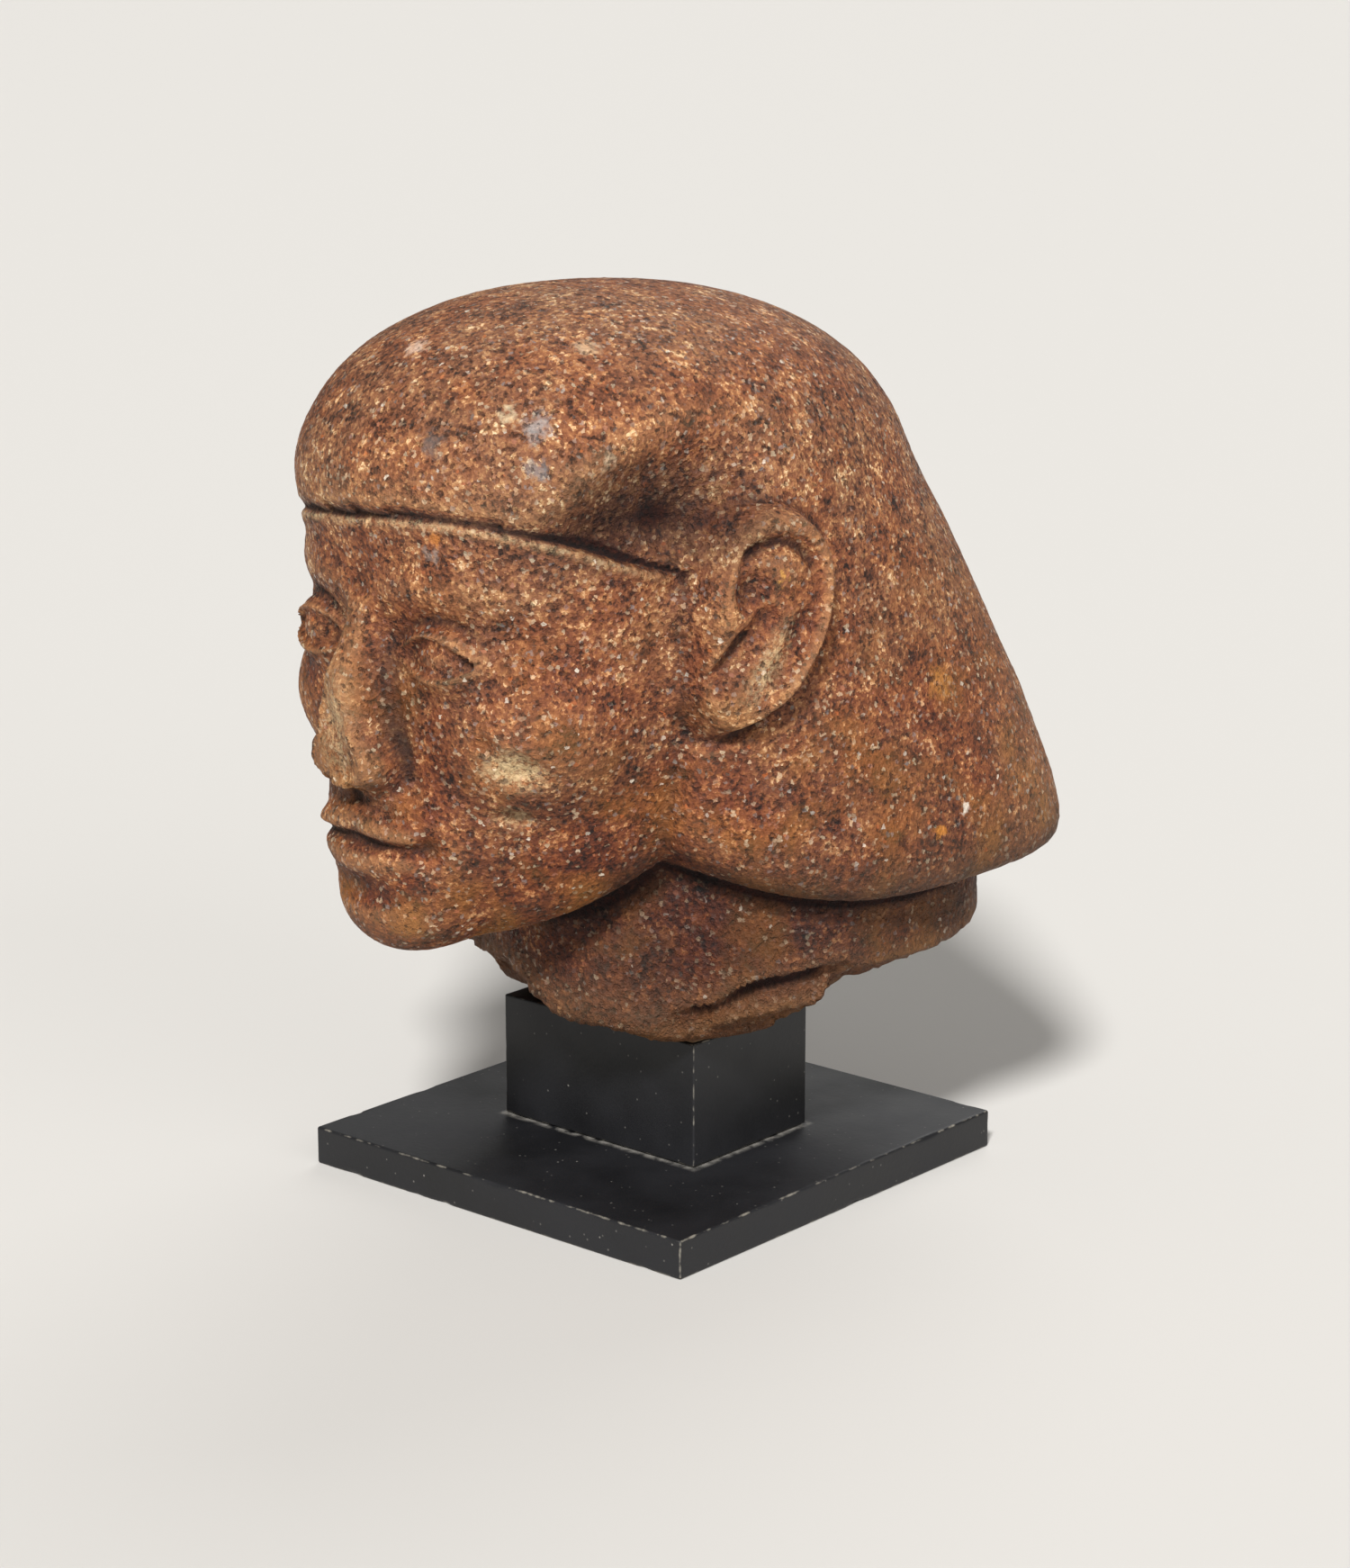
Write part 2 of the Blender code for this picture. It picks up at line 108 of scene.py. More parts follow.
# pebbles and stains that show one by one: where, in the form's millimetres, how large, and their colour
PEBBLES = (
    ((1, 70, 174), 4.5, "#e6c7b0"), ((43, 42, 175), 4.5, "#d9b48c"), ((44, 70, 159), 3.6, "#e0cda6"),
    ((51, 66, 156), 5.0, "#a9a39f"), ((29, 86, 151), 4.6, "#5c5552"), ((55, 69, 145), 3.6, "#78787a"),
    ((66, 53, 146), 3.8, "#c2ab8c"), ((30, 87, 120), 3.0, "#8a8079"), ((32, 87, 124), 2.4, "#c77b35"),
    ((90, -52, 74), 6.0, "#b87a35"), ((98, -56, 37), 2.4, "#efe6d6"), ((98, -45, 32), 2.6, "#d98a2c"),
    ((88, 9, 113), 1.8, "#d59a45"),
)

# lights: the way they come from (degrees round from the face's side, and up), strength, spread in degrees
LIGHTS = (("key", (30, 42), 4.1, 9), ("fill", (78, 16), 0.9, 50), ("back", (200, 40), 0.8, 40))
AIR, AIR_COLOUR = 0.2, "#f0eeea"

# the photograph's camera: degrees round and down, a focal length of 4000 in a picture 1742 high, both in
# pixels, and the way from it to the plate's near corner, in metres across, ahead and up
CAMERA_YAW, CAMERA_PITCH = 40.8, 14.1
SENSOR = 36
CAMERA_LENS = 4000 / 1742 * SENSOR
CAMERA_TO_CORNER = (0.0015, 0.9675, -0.378)


# the form, as distances in millimetres, less than nought inside it: x across, f ahead and z up from the chin.
# join, keep and cut are the smooth union, overlap and difference of two such distances
def along(t, places, values):
    """A smooth curve through a short profile, level before its first place and after its last."""
    places, values = np.asarray(places, float), np.asarray(values, float)
    slopes = np.gradient(values, places)
    t = np.clip(t, places[0], places[-1])
    i = np.clip(np.searchsorted(places, t, side="right") - 1, 0, len(places) - 2)
    gap = places[i + 1] - places[i]
    s = (t - places[i]) / gap
    start = values[i] * (1 + 2 * s) * (1 - s) ** 2 + slopes[i] * gap * s * (1 - s) ** 2
    return start + values[i + 1] * s * s * (3 - 2 * s) + slopes[i + 1] * gap * s * s * (s - 1)


def join(a, b, soft):
    h = np.clip(0.5 + 0.5 * (b - a) / soft, 0, 1)
    return b + (a - b) * h - soft * h * (1 - h)


def keep(a, b, soft):
    return -join(-a, -b, soft)


def cut(a, b, soft):
    return keep(a, -b, soft)


def egg(x, f, z, centre, radii):
    p = [(t - c) / r for t, c, r in zip((x, f, z), centre, radii)]
    far = np.sqrt(p[0] ** 2 + p[1] ** 2 + p[2] ** 2) + 1e-9
    steep = np.sqrt(sum((t / r) ** 2 for t, r in zip(p, radii))) + 1e-9
    return far * (far - 1) / steep


def oval(x, f, half, middle, front, back, front_power, back_power):
    """Distance to an outline seen from above, with its own length and squareness before and behind."""
    d = f - middle
    length, power = np.where(d > 0, front, back), np.where(d > 0, front_power, back_power)
    share = ((np.abs(x) / half) ** power + (np.abs(d) / length) ** power) ** (1 / power) + 1e-9
    return np.sqrt(x * x + d * d) * (1 - 1 / share)


def ramp(t, low, high):
    s = np.clip((t - low) / (high - low), 0, 1)
    return s * s * (3 - 2 * s)


def ridge(t, width):
    """1 at nought, falling smoothly to nothing at the width."""
    s = np.clip(np.abs(t) / width, 0, 1)
    return (1 - s * s) ** 2


def spot(a, b, half_a, half_b):
    return ridge(np.sqrt((a / half_a) ** 2 + (b / half_b) ** 2), 1.0)


def face_mass(x, f, z):
    levels = (-30, 0, 12, 26, 40, 56, 75, 95, 130, 150)
    half = along(z, levels, (30, 39, 49, 57.5, 62.5, 66.5, 69, FACE_HALF, FACE_HALF, 68))
    front = along(z, levels, (70, 83, 87.5, 89, 89, 89, 89, 89, 92.5, 91))
    power = along(z, levels, (1.9, 1.9, 1.95, 2.05, 2.15, 2.25, 2.35, 2.45, 2.5, 2.3))
    sides = oval(x, f, half, 0.0, front, 80.0, power, 2.2)
    jaw = along(f, (-20, 0, 14, 28, 46, 66, 84, 100), (60, 42, 28, 16, 6, 1.2, 0, 2))
    return keep(sides, (jaw - z) * 0.9, 14)


def socket_and_eye(u, f, z, d):
    """u is the distance from the face's middle, so both eyes come of one."""
    d = cut(d, egg(u, f, z, (EYE_APART - 1, 101, EYE_UP + 3), (22, 13.5, 12)), 9)
    d = cut(d, egg(u, f, z, (0.5 * EYE_APART - 1, 99.5, EYE_UP + 3), (7, 9, 9)), 6)
    ball = egg(u, f, z, (EYE_APART, 72.6, EYE_UP), (15.5, 15.5, 13.5))
    lids = egg(u, f, z, (EYE_APART, 72.8, EYE_UP), (18, 16.9, 15.2))
    s = (u - EYE_APART) / EYE_HALF
    arch = np.clip(1 - s * s, 0, 1)
    upper = EYE_UP + 0.4 + 6.2 * arch ** 0.75 + 0.5 * s
    lower = EYE_UP + 0.2 - 4.6 * arch ** 0.85 - 0.3 * s
    inside = np.where(np.abs(s) < 1, np.minimum(upper - z, z - lower), (1 - np.abs(s)) * EYE_HALF)
    d = join(join(d, ball, 1.2), keep(lids, inside, 1.2), 2.5)
    ahead = (f > 40) * ramp(1.3 - np.abs(s), 0, 0.35)
    rims = ridge(z - upper - 1.3, 1.9) + 0.75 * ridge(z - lower + 1.3, 1.9)
    return d - ahead * (0.9 * rims - 1.0 * ridge(z - upper - 5.4, 1.8))


def nose(u, f, z, d):
    """The wedge with its ridge and tip knocked off: the scar is nearly flat, and the wings stay."""
    base = FACE_THIRD
    rise = (z - base) / FACE_THIRD
    ridge_at = along(rise, (-0.08, 0.1, 0.25, 0.55, 0.9, 1.15), (98, 112, 112.5, 105, 95, 91.5))
    side_at = along(rise, (-0.08, 0.1, 0.3, 0.55, 0.9, 1.15), (16.5, 16.5, 13.5, 11.5, 11, 13))
    wedge = keep((f - ridge_at + np.maximum(u - 3, 0) ** 1.6 * 0.4) * 0.8, (u - side_at) * 0.8, 8)
    wedge = keep(wedge, keep(base - z, z - base * 2.08, 3), 3)
    wedge = keep(wedge, 60 - f, 3)
    d = join(d, wedge, 5)
    d = join(d, egg(u, f, z, (11, 94.5, base + 7.5), (6, 9.5, 6.4)), 4)
    d = join(d, egg(u, f, z, (0, 101, base + 8), (9, 9, 7)), 5)
    return cut(d, egg(u, f, z, (6.2, 96, base), (2.8, 5, 2.4)), 1.6)


def mouth(u, f, z, d):
    d = join(d, egg(u, f, z, (0, 72, MOUTH_UP + 1), (30, 21, 25)), 12)
    line = MOUTH_UP + 0.6 * ridge(u, 10)
    top = egg(u, f, z + 0.16 * u, (4, 87.8, MOUTH_UP + 5.8), (21, 8.2, 6.0))
    low = egg(u, f, z - 0.10 * u, (0, 87.4, MOUTH_UP - 6.2), (21, 9.2, 7.2))
    d = join(join(d, top, 2.5), low, 2.5)
    d = d + 1.5 * (f > 50) * ridge(z - line, 2.6) * ramp(26 - u, 0, 6)
    d = cut(d, egg(u, f, z, (26, 90.5, MOUTH_UP), (4, 6, 3.5)), 5)
    trough = ridge(u, 4.6) * ramp(z, MOUTH_UP + 9, MOUTH_UP + 12) * ramp(FACE_THIRD + 1 - z, 0, 4)
    under_lip = spot(u, z - (MOUTH_UP - 15), 22, 7)
    return d + (f > 50) * (1.1 * trough + 2.0 * under_lip)


def face(x, f, z):
    u = np.abs(x)
    d = face_mass(x, f, z)
    d = join(d, egg(u, f, z, (39, 58, EYE_UP - 21), (22, 23, 19)), 16)
    d = join(d, egg(u, f, z, (0, 78, 12), (22, 15, 13)), 10)
    brow = 2 * FACE_THIRD + 5 + 3.5 * np.sin(np.clip(u / 60, 0, 1) * np.pi * 0.9)
    d = d - 1.5 * ridge(z - brow, 9) * ramp(u, 0, 8) * ramp(64 - u, 0, 20) * (f > 20)
    d = mouth(u, f, z, nose(u, f, z, socket_and_eye(u, f, z, d)))
    fold = along(z, (36, 46, 56), (29.5, 23, 18))
    d = d + 0.8 * ridge(u - fold, 4.5) * ramp(z, 40, 48) * ramp(60 - z, 0, 8) * (f > 40)
    return d


def stroke(v, w, start, end, half):
    """1 along a straight carved stroke, falling to nothing at its half width."""
    (v0, w0), (v1, w1) = start, end
    share = ((v - v0) * (v1 - v0) + (w - w0) * (w1 - w0)) / ((v1 - v0) ** 2 + (w1 - w0) ** 2)
    share = np.clip(share, 0, 1)
    return ridge(np.hypot(v - v0 - share * (v1 - v0), w - w0 - share * (w1 - w0)), half)


def ear(f, z):
    """How far the ear stands off the wig, v up along it and w back across it."""
    lean = math.radians(EAR_LEAN)
    df, dz = f - EAR_AT, z - EAR_UP
    v = dz * math.cos(lean) - df * math.sin(lean)
    w = -(df * math.cos(lean) + dz * math.sin(lean))
    wide = EAR_HALF_WIDE + 5.5 * v / EAR_HALF_HIGH
    e = np.sqrt((w / wide) ** 2 + (v / EAR_HALF_HIGH) ** 2)
    around = np.degrees(np.arctan2(w / wide, v / EAR_HALF_HIGH))  # 0 at the top, 90 at the back
    stand = 6.8 * ramp(1.07 - e, 0, 0.15 + 0.2 * ramp(-around, 20, 70) * ramp(around, -150, -110))
    rim = 2.2 * ridge(e - 0.88, 0.17) * ramp(around, -80, -45) * ramp(160 - around, 0, 40)
    lump = (1.2 * spot(v - 16, w, 9, 10) + 1.8 * spot(v + 2, w + 13, 11, 6)
            + 1.2 * spot(v + 25, w + 2, 8, 10))
    groove = 2.3 * ridge(e - 0.71, 0.09) * ramp(around, -62, -38) * ramp(48 - around, 0, 25)
    bowl = 3.6 * spot(v - 8, w + 7.5, 9, 6.5)
    channel = (2.6 * stroke(v, w, (2, -1.5), (-21, -7), 4.6)
               + 1.8 * stroke(v, w, (-5, -5.5), (-19, -10), 2.6))
    behind = 1.6 * stroke(v, w, (4, 10), (-13, 6.5), 4.2)
    around_lobe = 1.8 * ridge(e - 1.12, 0.09) * np.maximum(ramp(around, 95, 125), ramp(-around, 130, 150))
    return stand + rim + lump - groove - bowl - channel - behind - around_lobe


def hairline(x, f):
    """The height of the hair's edge: it falls back to the ears, and hangs lower on the right side."""
    level = along(f, (20, 35, 51, 63, 75, 84, 100), (112, 115, 120, 124.5, 127.8, 130, HAIR_UP))
    return level + 0.085 * np.clip(x - 25, -75, 0)


def temple_hollow(f, z):
    """How far the wig sinks before and above the ear: one long dip, deepest against the ear's rim."""
    back, up = 40 - f, z - 129
    length, across = 0.88 * back + 0.48 * up, 0.88 * up - 0.48 * back
    return 13.0 * spot(length - 3, across + 1, 46, 27) + 3.0 * spot(f - 28, z - 127, 15, 13)


def wig(x, f, z):
    levels = (0, 30, 60, 88, 114, 134, 155)
    half = along(z, levels, (101, 99, 93.5, 88, 84, 81, 80))
    middle = along(z, levels, (-50, -49, -42, -29, -14, -1, 1))
    front = along(z, levels, (100, 100, 100, 101, 105, 97.5, 95))
    back = along(z, levels, (80, 76.5, 76, 81, 89, 97, 98))
    power = along(z, levels, (3.6, 3.5, 3.2, 2.8, 2.4, 2.1, 2.0))
    spring = HAIR_UP - 2
    rise = np.clip((z - spring) / (CROWN - spring), 0, None)
    d = f - middle - 4.0 * np.clip(rise, 0, 1)
    length, bend = np.where(d > 0, front, back), np.where(d > 0, 2.1, power)
    share = ((np.abs(x) / half) ** bend + (np.abs(d) / length) ** bend) ** (1 / bend)
    share = (share ** 2.2 + rise ** 2.2) ** (1 / 2.2) + 1e-9
    solid = np.sqrt(x * x + d * d + np.clip(z - spring, 0, None) ** 2) * (1 - 1 / share)
    beside = np.abs(x) > 20
    solid = solid + beside * temple_hollow(f, z)
    hair = hairline(x, f)
    edge = f - WIG_EDGE
    temple = np.abs(x) - (FACE_HALF + 2 + 0.62 * (WIG_EDGE + 4 - f) + 1.1 * np.maximum(EAR_UP - 30 - z, 0))
    solid = np.where(z < 118, keep(solid, temple * 0.8, 6), solid)
    under_hair = np.minimum(hair - z, edge)
    solid = keep(solid, under_hair, np.where(edge > hair - z, 3.0, 9.0))
    solid = solid - beside * ear(f, z)
    hem = along(f, (-135, -105, -80, -50, -20, 0, 20, 34, 46), (14, 14, 13, 11.5, 12, 15.5, 24, 32, 44))
    return keep(solid, (hem - z) * 0.9, 13)


def shoulders(x, f, z):
    """The stub under the wig, set back from its hem."""
    return keep(oval(x, f, 84.0, -42.0, 66.0, 64.0, 2.2, 3.0), z - 60, 4)


def neck(x, f, z):
    half = along(z, (-40, -8, 20, 50), (58, 53, 48, 47))
    cords = 2.0 * ridge(np.abs(x) - (30 + 0.35 * (z + 30)), 17) * ramp(f, 0, 25)
    return oval(x, f, half, -12.0, 50.0, 60.0, 2.1, 2.2) - cords


def break_level(x, f):
    """How high the rough break under the neck stands: flat on the block, rising all round it."""
    seat = -NECK_DROP
    away = np.sqrt((x / 52) ** 2 + ((f + 20) / np.where(f > -20, 60, 54)) ** 2)
    all_round = along(away, (0, 0.8, 1.0, 1.25, 1.6, 2.2), (0, 0, 3, 9, 17, 27))
    front = along(f, (-8, 4, 18, 30, 38, 46), (-2, 1, 3.5, 7, 8.8, 15))
    far_corner = along(x, (-30, -21, -4, 6, 14), (13, 11, 10.5, 5, 0)) * ramp(f, 8, 26)
    stepped = 7.0 * ramp(-f, 19, 23) * ramp(x, 36, 44)
    rough = 1.2 * np.sin(0.11 * x + 0.07 * f) * ramp(away, 0.8, 1.1)
    return seat + np.maximum(all_round, front) + far_corner + stepped + rough


def damaged(x, f, z, d):
    """The scar where the nose broke off, the bruise on the left cheek, and the break under the neck."""
    waves = 0.6 * np.sin(0.31 * x + 0.17 * z) + 0.4 * np.sin(0.43 * z - 0.2 * x)
    scar = f - (NOSE_SCAR + 0.1 * x + 0.05 * (z - FACE_THIRD) + waves)
    d = keep(d, scar, 1.5)
    for across, up, wide, high, deep in ((50, 60, 10, 8, 2.2), (45, 67, 5, 4, 1.4), (43, 44, 6, 4, 1.6)):
        d = d + deep * spot(x - across, z - up, wide, high) * (f > 0)
    flake_edge = along(x, (44, 49, 57, 68, 76, 84), (-27, -23, -20.5, -12.5, -9.5, -6))
    d = d + 3.2 * ramp(flake_edge - z, 0, 2.2) * ramp(x, 44, 52) * ramp(f, -30, -16)
    d = keep(d, (break_level(x, f) - z) * 0.9, 3)
    d = join(d, seat_lump(x, f, z), 2)
    return keep(d, -NECK_DROP - z, 0.5)


def seat_lump(x, f, z):
    """The little lump left standing on the block's front corner, flush with its sides."""
    angle, y = math.radians(HEAD_TURN), -f - HEAD_AHEAD
    across = x * math.cos(angle) - y * math.sin(angle)
    ahead = -x * math.sin(angle) - y * math.cos(angle)
    lump = egg(x, f, z, (38, -2, 3 - NECK_DROP), (12, 12, 7))
    return keep(keep(lump, across - BLOCK_WIDE / 2 + 0.5, 1), ahead - BLOCK_DEEP / 2 + 0.5, 1)


def unbroken(x, f, z):
    body = join(join(face(x, f, z), neck(x, f, z), 8), shoulders(x, f, z), 8)
    over_hair = z - hairline(x, f)
    beside = ramp(np.abs(x), 40, 60)
    body = keep(body + 16 * ramp(over_hair, -0.4, 3.5) * beside, z - 150, 4)
    fill_by_ear = 8 * ramp(z, 66, 78) * ramp(112 - z, 0, 8)
    head = join(body, wig(x, f, z), 1.6 + fill_by_ear)
    cut_line = 1.0 * ridge(over_hair - 0.3, 1.6) - 0.7 * ridge(over_hair + 3.0, 3.0)
    return head + cut_line * ramp(f, 26, 34) * ramp(z, 100, 108)


def stone(x, f, z):
    return damaged(x, f, z, unbroken(x, f, z))


def spread(count, places, weights):
    """Angles over the range, closer together where the weight is larger."""
    fine = np.linspace(places[0], places[-1], 4001)
    weight = np.interp(fine, places, weights)
    total = np.concatenate([[0], np.cumsum((weight[1:] + weight[:-1]) / 2)])
    return np.interp(np.linspace(0, total[-1], count), total, fine)


def cast(ways):
    """The outermost crossing of the surface along each way out of the centre."""
    far = np.linspace(CAST_FROM, CAST_TO, CAST_STEPS)
    low = np.full(len(ways), CAST_FROM)
    for reach in far:
        low = np.where(stone(*(ways * reach + CAST_CENTRE).T) < 0, reach, low)
    high = low + far[1] - far[0]
    for _ in range(CAST_HALVINGS):
        mid = (low + high) / 2
        inside = stone(*(ways * mid[:, None] + CAST_CENTRE).T) < 0
        low, high = np.where(inside, mid, low), np.where(inside, high, mid)
    return (low + high) / 2


def grid_faces(rows, columns):
    index = np.arange(rows * columns).reshape(rows, columns)
    beside = np.roll(index, -1, 1)
    quads = np.stack([index[:-1], beside[:-1], beside[1:], index[1:]], -1).reshape(-1, 4)
    south, north = rows * columns, rows * columns + 1
    caps = [(b, a, south) for a, b in zip(index[0], beside[0])]
    caps += [(a, b, north) for a, b in zip(index[-1], beside[-1])]
    return [tuple(map(int, face)) for face in [*quads, *caps]]


def blurred(grid, reach):
    """Each point's mean over its neighbours round the grid and, less far, up and down it."""
    total = sum(np.roll(grid, k, 1) for k in range(-reach, reach + 1)) / (2 * reach + 1)
    padded = np.concatenate([total[:1]] * reach + [total] + [total[-1:]] * reach)
    rows = len(grid)
    return sum(padded[k:k + rows] for k in range(2 * reach + 1)) / (2 * reach + 1)


def on_stand(spot_at):
    """A point of the form, in millimetres from the chin, where it stands on the mount."""
    x, f, z = (part * FORM_TO_STONE for part in spot_at)
    angle, y = math.radians(HEAD_TURN), -f - HEAD_AHEAD
    chin_up = PLATE_HIGH + BLOCK_HIGH + 2 * REST_GAP + NECK_DROP * FORM_TO_STONE
    across = x * math.cos(angle) - y * math.sin(angle)
    back = x * math.sin(angle) + y * math.cos(angle)
    return across, back, z + chin_up


def carved_mesh():
    """The stone's fine mesh, with how hollow, broken, coarse, free of its seat and pale it is at each point;
    the coarse share also carries painted shade before the ear, the pale one a painted highlight under the
    hair's cut.
    """
    columns, rows = ((FINE_COLUMNS, FINE_ROWS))
    around = spread(columns + 1, (-180, -110, -80, 80, 110, 180), (0.8, 1.3, 2.2, 2.2, 1.3, 0.8))
    up = spread(rows + 1, (-90, -72, -48, 42, 60, 90), (0.7, 1.2, 2.2, 2.2, 1, 0.6))
    around, up = np.radians(around[:-1]), np.radians(up[1:-1])
    turn, lift = np.meshgrid(around, up)
    ways = np.stack([np.sin(turn) * np.cos(lift), np.cos(turn) * np.cos(lift), np.sin(lift)], -1)
    ways = np.vstack([ways.reshape(-1, 3), [[0, 0, -1], [0, 0, 1]]])
    x, f, z = form = (ways * cast(ways)[:, None] + CAST_CENTRE).T
    points = np.stack(on_stand(form), -1) * MM
    mesh = bpy.data.meshes.new("carved stone")
    mesh.from_pydata(points.tolist(), [], grid_faces(rows - 1, columns))
    normals = np.empty(len(points) * 3)
    mesh.vertices.foreach_get("normal", normals)
    normals = normals.reshape(-1, 3)[:-2].reshape(rows - 1, columns, 3)
    grid = points[:-2].reshape(rows - 1, columns, 3)

    # how far each point lies below the mean round it, near and farther off, for what is usual at that reach
    hollow = np.zeros(len(points))
    for reach, share in ((3, 0.6), (9, 0.4)):
        dip = ((blurred(grid, reach) - grid) * normals).sum(-1) / MM
        hollow[:-2] += share * dip.reshape(-1) / (0.12 * reach ** 1.3)

    torn = ramp(-unbroken(x, f, z), 0.15, 1.2) * (1 - 0.6 * ramp(z, 5, 25))
    values = {"hollow": np.clip(hollow, -1.5, 3),
              "broken": np.maximum(torn, 0.35 * bruised(x, f, z)),
              "coarse": coarseness_and_temple_shade(x, f, z),
              "free": ramp(z, 0.3 - NECK_DROP, 6 - NECK_DROP),
              "pale": pale_and_lit_places(x, f, z)}
    for name, value in values.items():
        mesh.attributes.new(name, "FLOAT", "POINT").data.foreach_set("value", value.astype(np.float32))
    return mesh


def bruised(x, f, z):
    """The knocked cheek."""
    return (spot(x - 50, z - 60, 12, 10) + 0.7 * spot(x - 43, z - 44, 7, 5)) * (f > 40)


def pale_and_lit_places(x, f, z):
    """Where the stone shows pale: ear's channel, bruise, nose's scar, seat's lump; and the lip under the hair's
    cut, a painted highlight where the forehead's rim catches light.
    """
    in_ear = spot(f - 13 + 0.45 * (z - 86), z - 88, 7, 19) * (x > 60)
    scar = spot(x, z - 68, 12, 26) * ramp(f, NOSE_SCAR - 4, NOSE_SCAR - 1)
    lump = spot(x - 38, f + 2, 14, 14) * ramp(-z - NECK_DROP, -8, -3)
    below = hairline(x, f) - z
    # the forehead's rim just under the hair's cut, painted pale as a highlight
    lit_lip = ramp(below, 0.4, 1.4) * ramp(-below, -5, -2) * ramp(f, 30, 50)
    return np.clip(0.7 * in_ear + bruised(x, f, z) + 0.7 * scar + lump + 0.6 * lit_lip, 0, 1)


def coarseness_and_temple_shade(x, f, z):
    """How much less the ground surface was worked: before the ear, along the hem, and on the neck. Before the
    ear it also darkens the stone's colour, as painted shade in the hollow there.
    """
    beside = np.abs(x) > 40
    # before the ear: coarser, and painted shade in the hollow's colour
    temple = spot(f - 38, z - 130, 44, 26) * beside
    hem = ramp(40 - z, 0, 26) * ramp(45 - f, 0, 12)
    return np.clip(0.25 * temple + 0.19 * hem, 0, 0.3)


def add(tree, kind, sockets=(), **settings):
    """Adds a node with its settings, its ramp's stops and its sockets' values or links; gives its outputs."""
    made = tree.nodes.new(kind)
    for name, value in settings.items():
        if name != "stops":
            setattr(made, name, value)
            continue
        while len(made.color_ramp.elements) < len(value):
            made.color_ramp.elements.new(1)
        for point, (place, colour) in zip(made.color_ramp.elements, value):
            point.position, point.color = place, linear(colour)
    for name, value in dict(sockets).items():
        if isinstance(value, bpy.types.NodeSocket):
            tree.links.new(value, made.inputs[name])
        else:
            made.inputs[name].default_value = value
    return made.outputs


def linear(colour):
    """An sRGB hex colour as the linear RGBA that Blender wants."""
    parts = [int(colour[k:k + 2], 16) / 255 for k in (1, 3, 5)]
    return (*[c / 12.92 if c <= 0.04045 else ((c + 0.055) / 1.055) ** 2.4 for c in parts], 1)


# RANGE takes a value in socket 0, its range in 1 and 2, and the range it becomes in 3 and 4. MIX, when it
# mixes colours, takes the share in socket 0 and the colours in 6 and 7, and gives output 2
MATHS, RANGE, MIX = "ShaderNodeMath", "ShaderNodeMapRange", "ShaderNodeMix"
VECTOR, PARTS, RAMP = "ShaderNodeVectorMath", "ShaderNodeSeparateXYZ", "ShaderNodeValToRGB"
NOISE, CELLS = "ShaderNodeTexNoise", "ShaderNodeTexVoronoi"


